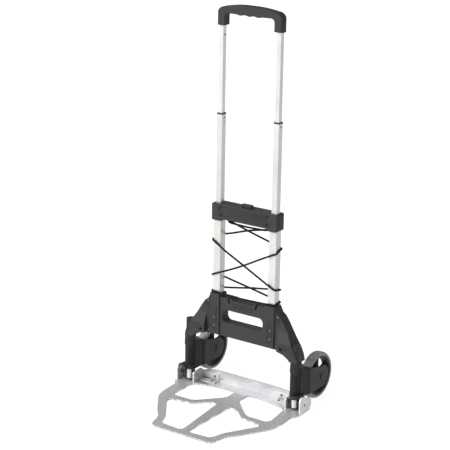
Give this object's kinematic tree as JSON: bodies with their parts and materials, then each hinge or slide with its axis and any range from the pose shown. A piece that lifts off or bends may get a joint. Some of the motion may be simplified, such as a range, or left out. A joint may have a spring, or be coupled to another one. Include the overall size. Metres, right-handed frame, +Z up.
{
  "type": "hand truck",
  "caption": "Folding hand truck: telescopic two-stage handle on square tubes, moulded crossmember, swinging wheel carriers and a skeletal toe plate hinged to fold up against the frame.",
  "frame": {"origin": "on the floor under the toe plate, midway between the posts, under the plane of the outer tubes", "axes": "+X across the truck to its right as seen from behind the load, -Y where the toe plate points, +Z up"},
  "size_m": [0.424, 0.4704, 1.1065],
  "materials": {
    "tube_alloy": "satin anodised tube",
    "foot_alloy": "satin tube with fine wear",
    "black_plastic": "fine pebble texture",
    "crossbar_plastic": "fine pebble texture",
    "grip_plastic": "soft matt grip",
    "carrier_plastic": "ribbed moulded plastic",
    "dark_plastic": "smooth moulded plastic",
    "rim_plastic": "smooth moulded plastic",
    "plate_alloy": "fine embossed grey texture",
    "bracket_alloy": "satin sheet",
    "screw_steel": "turned steel",
    "screw_black": "black oxide",
    "pin_steel": "turned steel",
    "tyre_rubber": "light grey moulded tread",
    "elastic": "braided elastic cord"
  },
  "bodies": {
    "frame": {"outer_tube_left": "tube_alloy", "outer_tube_right": "tube_alloy", "guide_bush_left": "dark_plastic", "guide_bush_right": "dark_plastic", "crossbar_front_shell": "crossbar_plastic", "crossbar_rear_shell": "crossbar_plastic", "crossbar_screws": "screw_black", "button_spring": "pin_steel", "housing_front_shell": "black_plastic", "housing_rear_shell": "black_plastic", "housing_screws": "screw_steel", "lower_post_left": "foot_alloy", "lower_post_right": "foot_alloy", "foot_cap_left": "dark_plastic", "foot_cap_right": "dark_plastic", "foot_liner_left": "dark_plastic", "foot_liner_right": "dark_plastic", "post_rings": "pin_steel", "elastic_cord": "elastic"},
    "toe_plate": {"toe_plate": "plate_alloy", "hinge_bracket_left": "bracket_alloy", "hinge_bracket_right": "bracket_alloy", "plate_rivets": "screw_steel", "hinge_pin_left": "pin_steel", "hinge_pin_right": "pin_steel", "hinge_spacers": "dark_plastic"},
    "carrier_left": {"wheel_carrier_left": "carrier_plastic", "axle_left": "pin_steel", "axle_caps_left": "dark_plastic"},
    "carrier_right": {"wheel_carrier_right": "carrier_plastic", "axle_right": "pin_steel", "axle_caps_right": "dark_plastic"},
    "wheel_left": {"rim_left": "rim_plastic", "tyre_left": "tyre_rubber", "hub_bushes_left": "dark_plastic"},
    "wheel_right": {"rim_right": "rim_plastic", "tyre_right": "tyre_rubber", "hub_bushes_right": "dark_plastic"},
    "mid_stage": {"mid_tube_left": "tube_alloy", "mid_tube_right": "tube_alloy", "mid_cap_left": "dark_plastic", "mid_cap_right": "dark_plastic", "mid_block_left": "dark_plastic", "mid_block_right": "dark_plastic"},
    "inner_stage": {"inner_tube_left": "tube_alloy", "inner_tube_right": "tube_alloy", "inner_plug_left": "dark_plastic", "inner_plug_right": "dark_plastic", "grip_front_shell": "grip_plastic", "grip_rear_shell": "grip_plastic", "grip_screws": "screw_steel"},
    "release_button": {"release_button": "dark_plastic"},
    "lock_bolt_left": {"lock_bolt_left": "pin_steel"},
    "lock_bolt_right": {"lock_bolt_right": "pin_steel"},
    "snap_button_left": {"snap_button_left": "dark_plastic"},
    "snap_button_right": {"snap_button_right": "dark_plastic"}
  },
  "joints": [
    {"name": "toe_plate_fold", "type": "hinge", "parent": "frame", "child": "toe_plate", "pos_m": [0, -0.012, 0.024], "axis": [-1, 0, 0], "range_deg": [0, 93.5]},
    {"name": "carrier_left_swing", "type": "hinge", "parent": "frame", "child": "carrier_left", "pos_m": [-0.18, -0.012, 0.024], "axis": [0, -0.061, -0.9981], "range_deg": [0, 90]},
    {"name": "carrier_right_swing", "type": "hinge", "parent": "frame", "child": "carrier_right", "pos_m": [0.18, -0.012, 0.024], "axis": [0, 0.061, 0.9981], "range_deg": [0, 90]},
    {"name": "wheel_left_spin", "type": "hinge", "parent": "carrier_left", "child": "wheel_left", "pos_m": [-0.18, 0.09743, 0.067], "axis": [1, 0, 0], "continuous": true},
    {"name": "wheel_right_spin", "type": "hinge", "parent": "carrier_right", "child": "wheel_right", "pos_m": [0.18, 0.09743, 0.067], "axis": [1, 0, 0], "continuous": true},
    {"name": "mid_stage_slide", "type": "slide", "parent": "frame", "child": "mid_stage", "axis": [0, 0.061, 0.9981], "range_m": [-0.24, 0]},
    {"name": "inner_stage_slide", "type": "slide", "parent": "mid_stage", "child": "inner_stage", "axis": [0, 0.061, 0.9981], "range_m": [-0.24, 0]},
    {"name": "release_button_press", "type": "slide", "parent": "frame", "child": "release_button", "axis": [0, -0.061, -0.9981], "range_m": [0, 0.004], "stiffness_N_per_m": 500, "springref_m": -0.002, "deforming": ["button_spring"]},
    {"name": "lock_bolt_left_draw", "type": "slide", "parent": "frame", "child": "lock_bolt_left", "axis": [1, 0, 0], "range_m": [0, 0.004]},
    {"name": "lock_bolt_right_draw", "type": "slide", "parent": "frame", "child": "lock_bolt_right", "axis": [-1, 0, 0], "range_m": [0, 0.004]},
    {"name": "snap_button_left_press", "type": "slide", "parent": "mid_stage", "child": "snap_button_left", "axis": [-1, 0, 0], "range_m": [0, 0.0008], "stiffness_N_per_m": 100, "springref_m": -0.0005},
    {"name": "snap_button_right_press", "type": "slide", "parent": "mid_stage", "child": "snap_button_right", "axis": [-1, 0, 0], "range_m": [0, 0.0008], "stiffness_N_per_m": 100, "springref_m": -0.0005}
  ],
  "couplings": [
    {"joint": "carrier_left_swing", "follows": "toe_plate_fold", "ratio": 0.9625},
    {"joint": "carrier_right_swing", "follows": "toe_plate_fold", "ratio": 0.9625},
    {"joint": "lock_bolt_left_draw", "follows": "release_button_press", "ratio": 1},
    {"joint": "lock_bolt_right_draw", "follows": "release_button_press", "ratio": 1}
  ]
}
